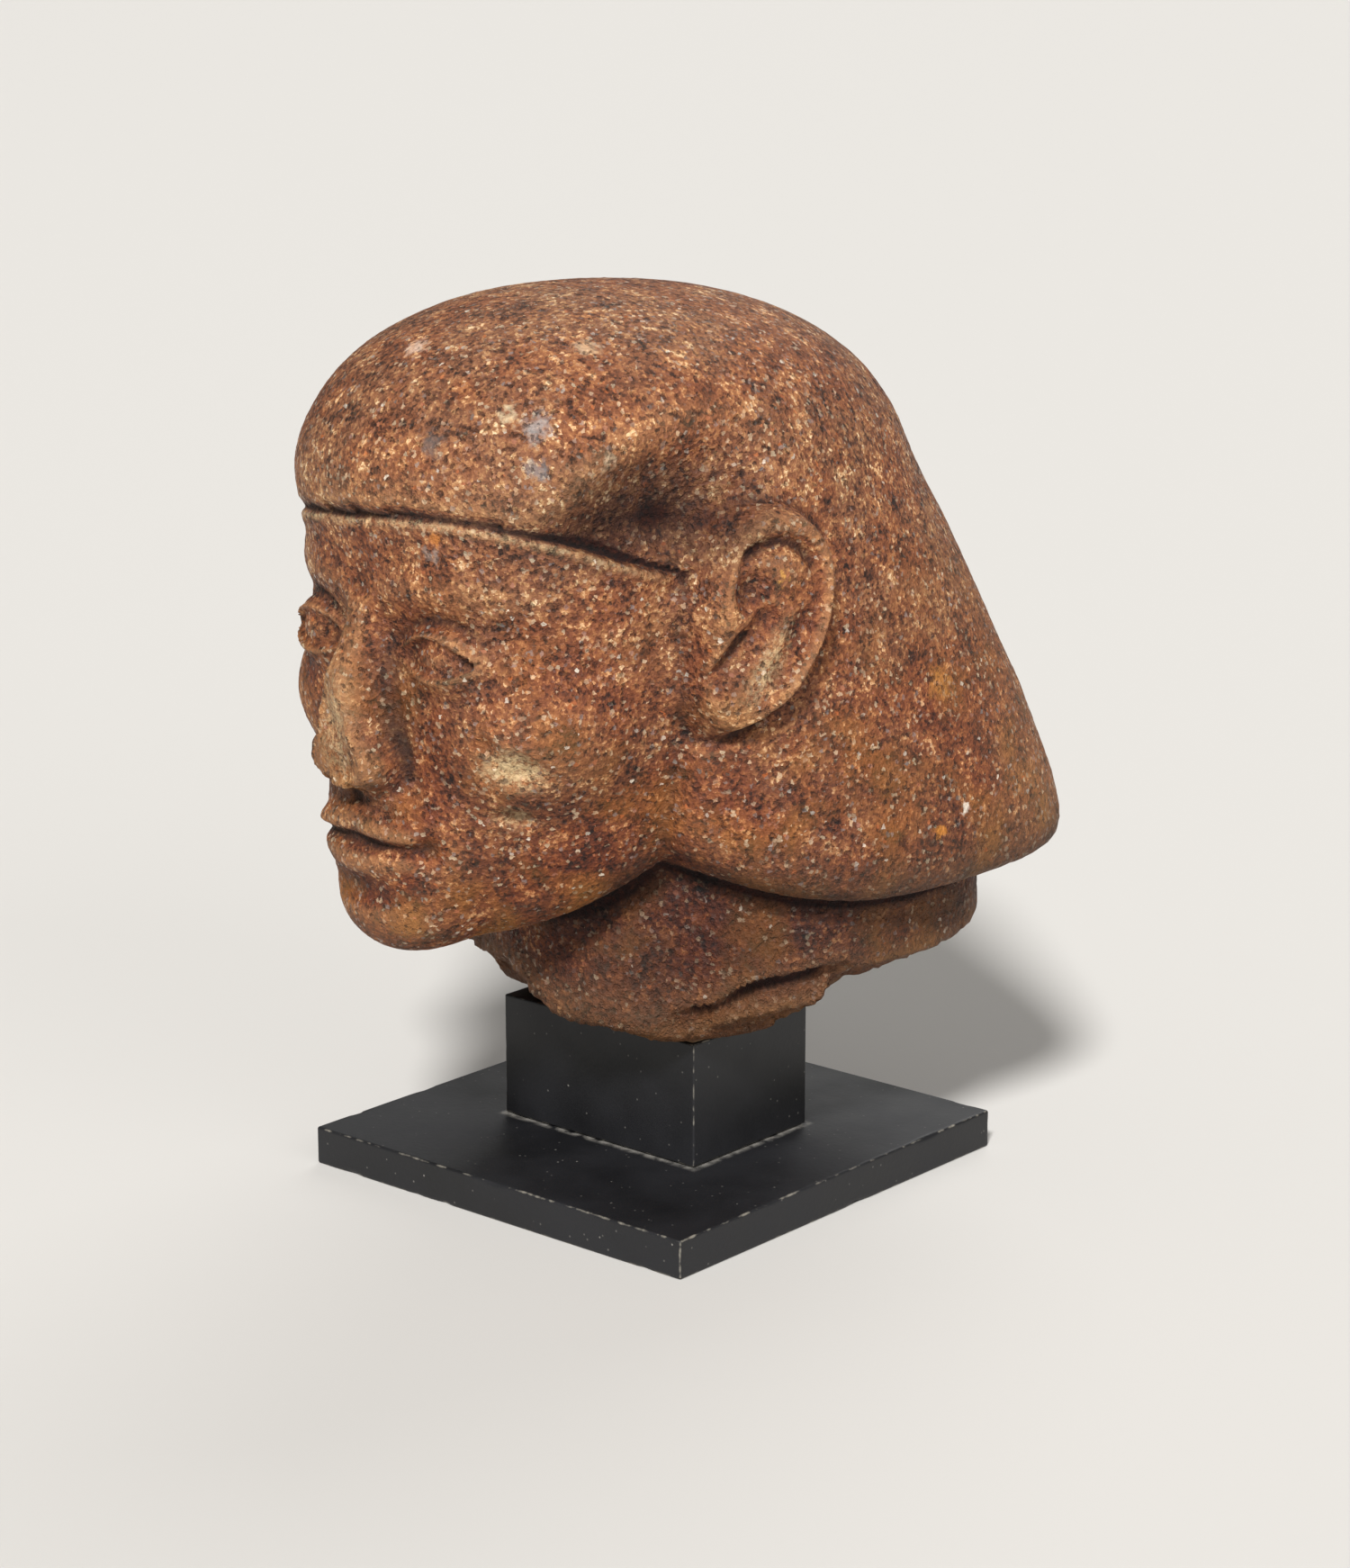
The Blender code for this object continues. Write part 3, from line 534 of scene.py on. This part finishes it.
def weathered_skin():
    """Nodes that sink pits, grain and torn breaks into a surface, never raising it past its form."""
    tree = bpy.data.node_groups.new("weathered stone skin", "GeometryNodeTree")
    tree.interface.new_socket("Geometry", in_out="INPUT", socket_type="NodeSocketGeometry")
    for name in SKIN:
        tree.interface.new_socket(name, in_out="INPUT", socket_type="NodeSocketFloat")
    tree.interface.new_socket("Stone", in_out="INPUT", socket_type="NodeSocketMaterial")
    tree.interface.new_socket("Geometry", in_out="OUTPUT", socket_type="NodeSocketGeometry")
    given = add(tree, "NodeGroupInput")
    place = add(tree, "GeometryNodeInputPosition")[0]
    place = add(tree, VECTOR, {0: place, "Scale": 1 / MM}, operation="SCALE")[0]
    seeded = {"Vector": place, "W": given["Seed"]}
    broken, coarse, free = [
        add(tree, "GeometryNodeInputNamedAttribute", {"Name": name}, data_type="FLOAT")[0]
        for name in ("broken", "coarse", "free")]

    # small round pits, in crowds, thicker where the finish is coarse
    per_pit = add(tree, MATHS, {0: 1.0, 1: given["Pit spacing"]}, operation="DIVIDE")[0]
    cell = add(tree, CELLS, {**seeded, "Scale": per_pit}, voronoi_dimensions="4D")["Distance"]
    pit = add(tree, RANGE, {0: cell, 1: 0.42, 2: 0.05})[0]
    crowd = add(tree, NOISE, {**seeded, "Scale": 1 / PIT_CROWD, "Detail": 2.0}, noise_dimensions="4D")[0]
    crowd = add(tree, MATHS, {0: crowd, 1: coarse}, operation="ADD")[0]
    crowd = add(tree, RANGE, {0: crowd, 1: 0.42, 2: 0.62})[0]
    pits = add(tree, MATHS, {0: pit, 1: crowd}, operation="MULTIPLY")[0]
    sunk = add(tree, MATHS, {0: pits, 1: given["Pit depth"]}, operation="MULTIPLY")[0]

    # the grains standing in the ground surface, deeper cut where it is coarse
    per_grain = add(tree, MATHS, {0: 1.0, 1: given["Grain spacing"]}, operation="DIVIDE")[0]
    grain = add(tree, NOISE, {**seeded, "Scale": per_grain, "Detail": 1.0}, noise_dimensions="4D")[0]
    grain = add(tree, MATHS, {0: grain, 1: given["Grain depth"]}, operation="MULTIPLY")[0]
    rougher = add(tree, MATHS, {0: coarse, 1: 7.5, 2: 1.0}, operation="MULTIPLY_ADD")[0]
    sunk = add(tree, MATHS, {0: grain, 1: rougher, 2: sunk}, operation="MULTIPLY_ADD")[0]

    # the slow unevenness that pounding and grinding leave
    waves = add(tree, NOISE, {**seeded, "Scale": 1 / TOOL_WAVE, "Detail": 1.0}, noise_dimensions="4D")[0]
    sunk = add(tree, MATHS, {0: waves, 1: given["Tool waves"], 2: sunk}, operation="MULTIPLY_ADD")[0]

    # torn stone on the breaks
    torn = add(tree, NOISE, {**seeded, "Scale": 1 / TEAR, "Detail": 4.0, "Roughness": 0.6},
               noise_dimensions="4D")[0]
    torn = add(tree, RANGE, {0: torn, 1: 0.3, 2: 0.75})[0]
    torn = add(tree, MATHS, {0: torn, 1: broken}, operation="MULTIPLY")[0]
    sunk = add(tree, MATHS, {0: torn, 1: given["Break relief"], 2: sunk}, operation="MULTIPLY_ADD")[0]

    # but nothing is lost where the stone sits on its block
    sunk = add(tree, MATHS, {0: sunk, 1: free}, operation="MULTIPLY")[0]
    inwards = add(tree, MATHS, {0: sunk, 1: -MM}, operation="MULTIPLY")[0]
    normal = add(tree, "GeometryNodeInputNormal")[0]
    offset = add(tree, VECTOR, {0: normal, "Scale": inwards}, operation="SCALE")[0]
    moved = add(tree, "GeometryNodeSetPosition", {"Geometry": given["Geometry"], "Offset": offset})[0]
    smooth = add(tree, "GeometryNodeSetShadeSmooth", {"Geometry": moved, "Shade Smooth": True})[0]
    real = add(tree, "GeometryNodeRealizeInstances", {"Geometry": smooth})[0]
    dressed = add(tree, "GeometryNodeSetMaterial", {"Geometry": real, "Material": given["Stone"]})[0]
    add(tree, "NodeGroupOutput", {"Geometry": dressed})
    return tree


def stone_head(material):
    """The carved mesh with its weathered skin, as plain mesh inside the solid's box."""
    rough = bpy.data.objects.new("rough stone", carved_mesh())
    bpy.context.scene.collection.objects.link(rough)
    skin = rough.modifiers.new("weathered skin", "NODES")
    skin.node_group = weathered_skin()
    sizes = {**SKIN, "Stone": material}
    for item in skin.node_group.interface.items_tree:
        if item.item_type == "SOCKET" and item.in_out == "INPUT" and item.name in sizes:
            skin[item.identifier] = sizes[item.name]
    bpy.context.view_layer.update()
    graph = bpy.context.evaluated_depsgraph_get()
    mesh = bpy.data.meshes.new_from_object(rough.evaluated_get(graph), depsgraph=graph)
    bpy.data.objects.remove(rough)
    points = np.empty(len(mesh.vertices) * 3)
    mesh.vertices.foreach_get("co", points)
    low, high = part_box("stone_head")
    mesh.vertices.foreach_set("co", np.clip(points.reshape(-1, 3), low, high).reshape(-1))
    mesh.update()
    piece = bpy.data.objects.new("carved_head", mesh)
    bpy.context.scene.collection.objects.link(piece)
    return piece


def rounded_box(name, node, edge, step, material):
    """A block on its node's box with rounded edges: fine lines near the edges, and small chips along them."""
    low, high = (np.array(corner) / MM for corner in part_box(node))
    middle, half = (low + high) / 2, (high - low) / 2
    near = edge * np.array((0, 0.3, 0.65, 1.0, 1.6, 2.6))
    lines = []
    for size in half:
        inner = size - near[-1]
        between = np.linspace(-inner, inner, max(2, int(round(2 * inner / step)) + 1))[1:-1]
        lines.append(np.concatenate([-size + near, between, (size - near)[::-1]]))
    corners, quads = [], []
    for axis in range(3):
        a, b = (axis + 1) % 3, (axis + 2) % 3
        first, second = np.meshgrid(lines[a], lines[b], indexing="ij")
        for side in (-1, 1):
            start = sum(len(c) for c in corners)
            grid = np.zeros((*first.shape, 3))
            grid[..., a], grid[..., b], grid[..., axis] = first, second, side * half[axis]
            index = start + np.arange(first.size).reshape(first.shape)
            faces = [index[:-1, :-1], index[1:, :-1], index[1:, 1:], index[:-1, 1:]]
            faces = np.stack(faces, -1).reshape(-1, 4)
            corners.append(grid.reshape(-1, 3))
            quads.append(faces if side > 0 else faces[:, ::-1])
    points, index = np.unique(np.round(np.concatenate(corners), 4), axis=0, return_inverse=True)
    quads = index.reshape(-1)[np.concatenate(quads)]
    inner = np.clip(points, -(half - edge), half - edge)
    out = points - inner
    length = np.linalg.norm(out, axis=1, keepdims=True) + 1e-9
    points = np.where(length > edge * 0.999, inner + out / length * edge, points)

    # chips, from a noise some 11 mm across and a finer one of 2.5 mm, only where two faces meet
    depth = np.sort(half - np.abs(points), axis=1)
    bare = np.clip(1 - (depth[:, 0] + depth[:, 1]) / (edge * 1.5), 0, 1)
    for k in np.nonzero(bare > 0.02)[0]:
        knock = noise.noise(Vector(points[k] * 0.09)) + 0.5 * noise.noise(Vector(points[k] * 0.4))
        if knock > CHIP_OVER:
            lost = np.minimum((knock - CHIP_OVER) * CHIP_DEEP, CHIP_MOST) * bare[k]
            at_edge = half - np.abs(points[k]) < edge * 1.2
            points[k] -= np.sign(points[k]) * lost * at_edge
    mesh = bpy.data.meshes.new(name)
    mesh.from_pydata(((points + middle) * MM).tolist(), [], quads.tolist())
    mesh.attributes.new("edge", "FLOAT", "POINT").data.foreach_set("value", bare.astype(np.float32))
    mesh.shade_smooth()
    mesh.materials.append(material)
    piece = bpy.data.objects.new(name, mesh)
    bpy.context.scene.collection.objects.link(piece)
    return piece


def stone_material():
    """Coarse brown granite, pounded to shape and ground smooth, then weathered: the eye sees a
    red-brown ground packed with tan and clear grains, the clear ones brightened as painted glints, a few
    pebbles let into it, ochre stains and a browner, darker colour low down that is partly painted shade,
    painted shade in the hollows with dirt in the pits, and a paler, rubbed skin on what stands out."""
    material = bpy.data.materials.new("brown granite, pounded, ground and weathered")
    material.use_nodes = True
    tree = material.node_tree
    shader = tree.nodes["Principled BSDF"]

    # quartz under a worn skin, which glints less than a polished one
    shader.inputs["IOR"].default_value = 1.54
    shader.inputs["Specular IOR Level"].default_value = 0.35
    place = add(tree, "ShaderNodeTexCoord")["Object"]
    place = add(tree, "ShaderNodeMapping", {"Vector": place, "Scale": (1 / MM, 1 / MM, 1 / MM)})[0]
    hollow, broken, coarse, pale = [add(tree, "ShaderNodeAttribute", attribute_name=name)["Fac"]
                                    for name in ("hollow", "broken", "coarse", "pale")]

    # grains as large as those that can be told apart in the photo, each with its own shade, and finer grit
    # over them. The clots hold more of the pale or more of the dark ones
    elsewhere = add(tree, VECTOR, {0: place, 1: (-9, 60, 21)})[0]
    clots = add(tree, NOISE, {"Vector": elsewhere, "Scale": 1 / CLOT, "Detail": 4.0, "Roughness": 0.65})[0]
    fray = add(tree, NOISE, {"Vector": place, "Scale": 1 / GRAIN_FRAY, "Detail": 2.0})["Color"]
    bent = add(tree, VECTOR, {0: fray, 1: (0.9, 0.9, 0.9), 2: place}, operation="MULTIPLY_ADD")[0]
    grains = add(tree, CELLS, {"Vector": bent, "Scale": 1 / GRAIN})
    lot = add(tree, PARTS, {0: grains["Color"]})
    grit = add(tree, NOISE, {"Vector": place, "Scale": 1 / GRIT, "Detail": 3.0, "Roughness": 0.75})[0]
    shade = add(tree, MATHS, {0: lot[0], 1: 0.5}, operation="MULTIPLY")[0]
    shade = add(tree, MATHS, {0: clots, 1: 1.5, 2: shade}, operation="MULTIPLY_ADD")[0]
    shade = add(tree, MATHS, {0: grit, 1: 1.1, 2: shade}, operation="MULTIPLY_ADD")[0]
    shade = add(tree, RANGE, {0: shade, 1: 1.03, 2: 2.0})[0]
    speckled = add(tree, RAMP, {0: shade}, stops=GRAINS)[0]

    # tinted in clouds, browner and darker low down, partly its own colour and partly painted shade, with
    # patches of ochre stain there, clear grains brightened as painted glints, and odd flecks
    clouds = add(tree, NOISE, {"Vector": place, "Scale": 1 / CLOUD, "Detail": 4.0, "Roughness": 0.6})[0]
    tint = add(tree, RAMP, {0: clouds}, stops=TINTS)[0]
    speckled = add(tree, MIX, {0: 1.0, 6: speckled, 7: tint}, data_type="RGBA", blend_type="MULTIPLY")[2]
    height = add(tree, PARTS, {0: place})[2]
    low_down = add(tree, RANGE, {0: height, 1: 215.0, 2: 95.0})[0]
    # browner and darker low down, partly painted shade
    speckled = add(tree, MIX, {0: low_down, 6: speckled, 7: linear(LOW_TINT_AND_SHADE)}, data_type="RGBA",
                   blend_type="MULTIPLY")[2]
    elsewhere = add(tree, VECTOR, {0: place, 1: (40, 80, -40)})[0]
    stain = add(tree, NOISE, {"Vector": elsewhere, "Scale": 1 / STAIN, "Detail": 3.0})[0]
    stain = add(tree, RANGE, {0: stain, 1: 0.48, 2: 0.66, 4: 0.45})[0]
    stain = add(tree, MATHS, {0: stain, 1: low_down}, operation="MULTIPLY")[0]
    speckled = add(tree, MIX, {0: stain, 6: speckled, 7: linear(OCHRE)}, data_type="RGBA")[2]
    # clear quartz grains, pale of themselves and brightened as painted glints
    clear_and_glint = add(tree, RANGE, {0: lot[2], 1: 0.93, 2: 1.0, 4: 0.36})[0]
    speckled = add(tree, MIX, {0: clear_and_glint, 6: speckled, 7: linear(CLEAR_GRAIN_AND_GLINT)}, data_type="RGBA")[2]
    fleck = add(tree, RANGE, {0: lot[1], 1: 0.965, 2: 0.975, 4: 0.5})[0]
    fleck_colour = add(tree, RAMP, {0: lot[2]}, stops=FLECKS)[0]
    speckled = add(tree, MIX, {0: fleck, 6: speckled, 7: fleck_colour}, data_type="RGBA")[2]

    # the pebbles that show one by one, ragged at their rims
    rim = add(tree, NOISE, {"Vector": place, "Scale": 1 / PEBBLE_FRAY, "Detail": 3.0})[0]
    rim = add(tree, RANGE, {0: rim, 1: 0.3, 2: 0.7, 3: -2.2, 4: 2.2}, clamp=False)[0]
    for spot_at, size, colour in PEBBLES:
        away = add(tree, VECTOR, {0: place, 1: on_stand(spot_at)}, operation="DISTANCE")["Value"]
        away = add(tree, MATHS, {0: away, 1: rim}, operation="ADD")[0]
        share = add(tree, RANGE, {0: away, 1: size, 2: size * 0.3, 4: 0.62})[0]
        speckled = add(tree, MIX, {0: share, 6: speckled, 7: linear(colour)}, data_type="RGBA")[2]

    # rubbed paler where it stands out, raw on the breaks, crumbled pale in the ear and on the bruise, and a
    # painted highlight on the forehead's rim under the hair's cut
    rubbed = add(tree, RANGE, {0: hollow, 1: -0.1, 2: -1.3, 4: 0.55})[0]
    worn = add(tree, MIX, {0: rubbed, 6: speckled, 7: linear(RUBBED)}, data_type="RGBA",
               blend_type="SCREEN")[2]
    raw = add(tree, MATHS, {0: broken, 1: 0.3}, operation="MULTIPLY")[0]
    worn = add(tree, MIX, {0: raw, 6: worn, 7: linear(RAW)}, data_type="RGBA")[2]
    crumbs = add(tree, NOISE, {"Vector": place, "Scale": 1 / CRUMB, "Detail": 4.0, "Roughness": 0.8})[0]
    crumbs = add(tree, MATHS, {0: pale, 1: 0.18, 2: crumbs}, operation="MULTIPLY_ADD")[0]
    patchy = add(tree, RANGE, {0: crumbs, 1: 0.5, 2: 0.7, 4: 0.8})[0]
    # paler, with a painted highlight under the hair's cut
    paled_and_lit = add(tree, MATHS, {0: pale, 1: patchy}, operation="MULTIPLY")[0]
    worn = add(tree, MIX, {0: paled_and_lit, 6: worn, 7: linear(BRUISE_AND_HIGHLIGHT)}, data_type="RGBA")[2]

    # painted shade in what is sunk, more of it in the hollow before the ear, and darkest, near black, in the
    # creases; the pits darkened, partly by dirt and partly as their painted shade
    elsewhere = add(tree, VECTOR, {0: place, 1: (7, 3, 5)})[0]
    pitted = add(tree, NOISE, {"Vector": elsewhere, "Scale": 1 / DARK_PIT, "Detail": 3.0, "Roughness": 0.6})[0]
    pitted = add(tree, MATHS, {0: coarse, 1: -0.3, 2: pitted}, operation="MULTIPLY_ADD")[0]
    pit = add(tree, RANGE, {0: pitted, 1: 0.42, 2: 0.32})[0]
    # painted shade: darker where the surface is sunk, and before the ear through the coarse share
    sunk = add(tree, RANGE, {0: hollow, 1: 0.2, 2: 1.7, 4: 0.75})[0]
    sunk = add(tree, MATHS, {0: coarse, 1: 3.1, 2: sunk}, operation="MULTIPLY_ADD", use_clamp=True)[0]
    dark_pits = add(tree, MATHS, {0: pit, 1: 0.65}, operation="MULTIPLY")[0]
    shade_and_dirt = add(tree, MATHS, {0: sunk, 1: dark_pits}, operation="MAXIMUM")[0]
    worn = add(tree, MIX, {0: shade_and_dirt, 6: worn, 7: linear(SHADE_AND_DIRT)}, data_type="RGBA", blend_type="MULTIPLY")[2]
    # painted shade, near black, in the creases
    crevice_shade = add(tree, RANGE, {0: hollow, 1: 1.6, 2: 3.0, 4: 0.6})[0]
    worn = add(tree, MIX, {0: crevice_shade, 6: worn, 7: linear(CREVICE_SHADE)}, data_type="RGBA")[2]
    tree.links.new(worn, shader.inputs["Base Color"])

    # clear grains glint, the ground between them is dull, and it is duller still where the painted shade and
    # dirt lie
    dull = add(tree, RANGE, {0: lot[2], 1: 0.84, 2: 0.86, 3: 0.7, 4: 0.34})[0]
    dull = add(tree, MATHS, {0: dull, 1: shade_and_dirt}, operation="MAXIMUM")[0]
    tree.links.new(dull, shader.inputs["Roughness"])
    relief = add(tree, MATHS, {0: grains["Distance"], 1: 0.25, 2: grit}, operation="MULTIPLY_ADD")[0]
    relief = add(tree, MATHS, {0: pit, 1: -0.5, 2: relief}, operation="MULTIPLY_ADD")[0]
    bump = add(tree, "ShaderNodeBump", {"Height": relief, "Distance": GRAIN * MM, "Strength": 1.0})["Normal"]
    tree.links.new(bump, shader.inputs["Normal"])
    return material


def paint_material(name, glue_line):
    """Black paint, brushed on metal and dry: a dull satin skin, greyer where it was handled, with dust
    specks on it and the pale undercoat showing where its edges were knocked. The glue line is the pale
    one round the block's foot."""
    material = bpy.data.materials.new(name)
    material.use_nodes = True
    tree = material.node_tree
    shader = tree.nodes["Principled BSDF"]
    shader.inputs["IOR"].default_value = 1.48
    place = add(tree, "ShaderNodeTexCoord")["Object"]
    place = add(tree, "ShaderNodeMapping", {"Vector": place, "Scale": (1 / MM, 1 / MM, 1 / MM)})[0]
    cloud = add(tree, NOISE, {"Vector": place, "Scale": 1 / PAINT_CLOUD, "Detail": 3.0})[0]
    colour = add(tree, RAMP, {0: cloud}, stops=PAINT)[0]

    # undercoat on the knocked edges, in broken patches
    edge = add(tree, "ShaderNodeAttribute", attribute_name="edge")["Fac"]
    knocks = add(tree, NOISE, {"Vector": place, "Scale": 1 / KNOCK, "Detail": 4.0})[0]
    chipped = add(tree, MATHS, {0: edge, 1: knocks}, operation="MULTIPLY")[0]
    chipped = add(tree, RANGE, {0: chipped, 1: 0.29, 2: 0.41, 4: 0.75})[0]
    colour = add(tree, MIX, {0: chipped, 6: colour, 7: linear(UNDERCOAT)}, data_type="RGBA")[2]

    # specks of dust, about one in four cells
    cells = add(tree, CELLS, {"Vector": place, "Scale": 1 / DUST_CELL})
    lone = add(tree, PARTS, {0: cells["Color"]})[0]
    lone = add(tree, RANGE, {0: lone, 1: 0.75, 2: 1.0, 3: 0.4})[0]
    dot = add(tree, RANGE, {0: cells["Distance"], 1: 0.1, 2: 0.05})[0]
    dust = add(tree, MATHS, {0: lone, 1: dot}, operation="MULTIPLY")[0]
    if glue_line:
        at = add(tree, PARTS, {0: place})
        beyond = []
        for part, size in ((at[0], BLOCK_WIDE), (at[1], BLOCK_DEEP)):
            off_middle = add(tree, MATHS, {0: part}, operation="ABSOLUTE")[0]
            beyond.append(add(tree, MATHS, {0: off_middle, 1: size / 2}, operation="SUBTRACT")[0])
        away = add(tree, MATHS, {0: beyond[0], 1: beyond[1]}, operation="MAXIMUM")[0]
        line = add(tree, RANGE, {0: away, 1: 2.4, 2: 0.5})[0]
        gaps = add(tree, NOISE, {"Vector": place, "Scale": 1 / GLUE_GAP, "Detail": 3.0})[0]
        gaps = add(tree, RANGE, {0: gaps, 1: 0.36, 2: 0.6})[0]
        line = add(tree, MATHS, {0: line, 1: gaps}, operation="MULTIPLY")[0]
        dust = add(tree, MATHS, {0: dust, 1: line}, operation="MAXIMUM")[0]
    dust = add(tree, MATHS, {0: dust, 1: 0.7}, operation="MULTIPLY")[0]
    colour = add(tree, MIX, {0: dust, 6: colour, 7: linear(DUST)}, data_type="RGBA")[2]
    tree.links.new(colour, shader.inputs["Base Color"])

    # duller where it is greyer and where dust lies, over the brush's faint marks
    dull = add(tree, RANGE, {0: cloud, 1: 0.3, 2: 0.7, 3: 0.42, 4: 0.6})[0]
    dull = add(tree, MATHS, {0: dull, 1: dust}, operation="MAXIMUM")[0]
    tree.links.new(dull, shader.inputs["Roughness"])
    brushed = add(tree, NOISE, {"Vector": place, "Scale": 1 / BRUSH_MARK, "Detail": 3.0})[0]
    relief = add(tree, MATHS, {0: chipped, 1: -1.5, 2: brushed}, operation="MULTIPLY_ADD")[0]
    bump = add(tree, "ShaderNodeBump", {"Height": relief, "Distance": 0.06 * MM, "Strength": 0.8})["Normal"]
    tree.links.new(bump, shader.inputs["Normal"])
    return material


def studio():
    """A pale floor out to the horizon, and soft lights all from far off, so that it is evenly lit."""
    floor = bpy.data.meshes.new("floor")
    corners = [(x * FLOOR_REACH, y * FLOOR_REACH, 0) for x, y in ((-1, -1), (1, -1), (1, 1), (-1, 1))]
    floor.from_pydata(corners, [], [(0, 1, 2, 3)])
    paper = bpy.data.materials.new("pale paper, matt")
    paper.use_nodes = True
    paper.node_tree.nodes["Principled BSDF"].inputs["Base Color"].default_value = linear(FLOOR)
    paper.node_tree.nodes["Principled BSDF"].inputs["Roughness"].default_value = 0.9
    floor.materials.append(paper)
    sheet = bpy.data.objects.new("studio_floor", floor)
    bpy.context.scene.collection.objects.link(sheet)
    for name, (azimuth, height), power, spread_degrees in LIGHTS:
        light = bpy.data.lights.new(name, "SUN")
        light.energy, light.angle = power, math.radians(spread_degrees)
        lamp = bpy.data.objects.new(name, light)
        a, e = math.radians(azimuth), math.radians(height)
        away = Vector((math.sin(a) * math.cos(e), -math.cos(a) * math.cos(e), math.sin(e)))
        lamp.location = away * 2
        lamp.rotation_euler = (-away).to_track_quat("-Z", "Y").to_euler()
        bpy.context.scene.collection.objects.link(lamp)
    world = bpy.data.worlds.new("studio air")
    world.use_nodes = True
    world.node_tree.nodes["Background"].inputs["Color"].default_value = linear(AIR_COLOUR)
    world.node_tree.nodes["Background"].inputs["Strength"].default_value = AIR
    bpy.context.scene.world = world
    bpy.context.scene.view_settings.view_transform = "Standard"


def camera():
    """The photograph's view, from the plate's near corner, round to the right and a little above."""
    yaw, pitch = math.radians(CAMERA_YAW), math.radians(CAMERA_PITCH)
    right = Vector((math.cos(yaw), math.sin(yaw), 0))
    ahead = Vector((-math.sin(yaw), math.cos(yaw), 0))
    corner = Vector((PLATE_SIDE / 2, -PLATE_SIDE / 2, PLATE_HIGH)) * MM
    across, away, below = CAMERA_TO_CORNER
    look = ahead * math.cos(pitch) - Vector((0, 0, math.sin(pitch)))
    up = ahead * math.sin(pitch) + Vector((0, 0, math.cos(pitch)))
    view = Matrix((right, up, -look)).transposed().to_4x4()
    view.translation = corner - right * across - ahead * away - Vector((0, 0, below))
    lens = bpy.data.cameras.new("photograph's view")
    lens.lens, lens.sensor_width = CAMERA_LENS, SENSOR
    eye = bpy.data.objects.new("photograph's view", lens)
    eye.matrix_world = view
    bpy.context.scene.collection.objects.link(eye)
    bpy.context.scene.camera = eye


def main():
    camera()
    studio()
    stone_piece = stone_head(stone_material())
    paint = paint_material("black paint on the block, brushed", False)
    block_piece = rounded_box("painted_block", "mount_block", BLOCK_EDGE, BLOCK_STEP, paint)
    paint = paint_material("black paint on the plate, brushed", True)
    plate_piece = rounded_box("painted_plate", "base_plate", PLATE_EDGE, PLATE_STEP, paint)
    pieces = ((stone_piece, "stone_head", "brown_granite"),
              (block_piece, "mount_block", "block_paint"),
              (plate_piece, "base_plate", "plate_paint"))
    for piece, node, slot in pieces:
        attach(piece, "root")
        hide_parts(node)


main()
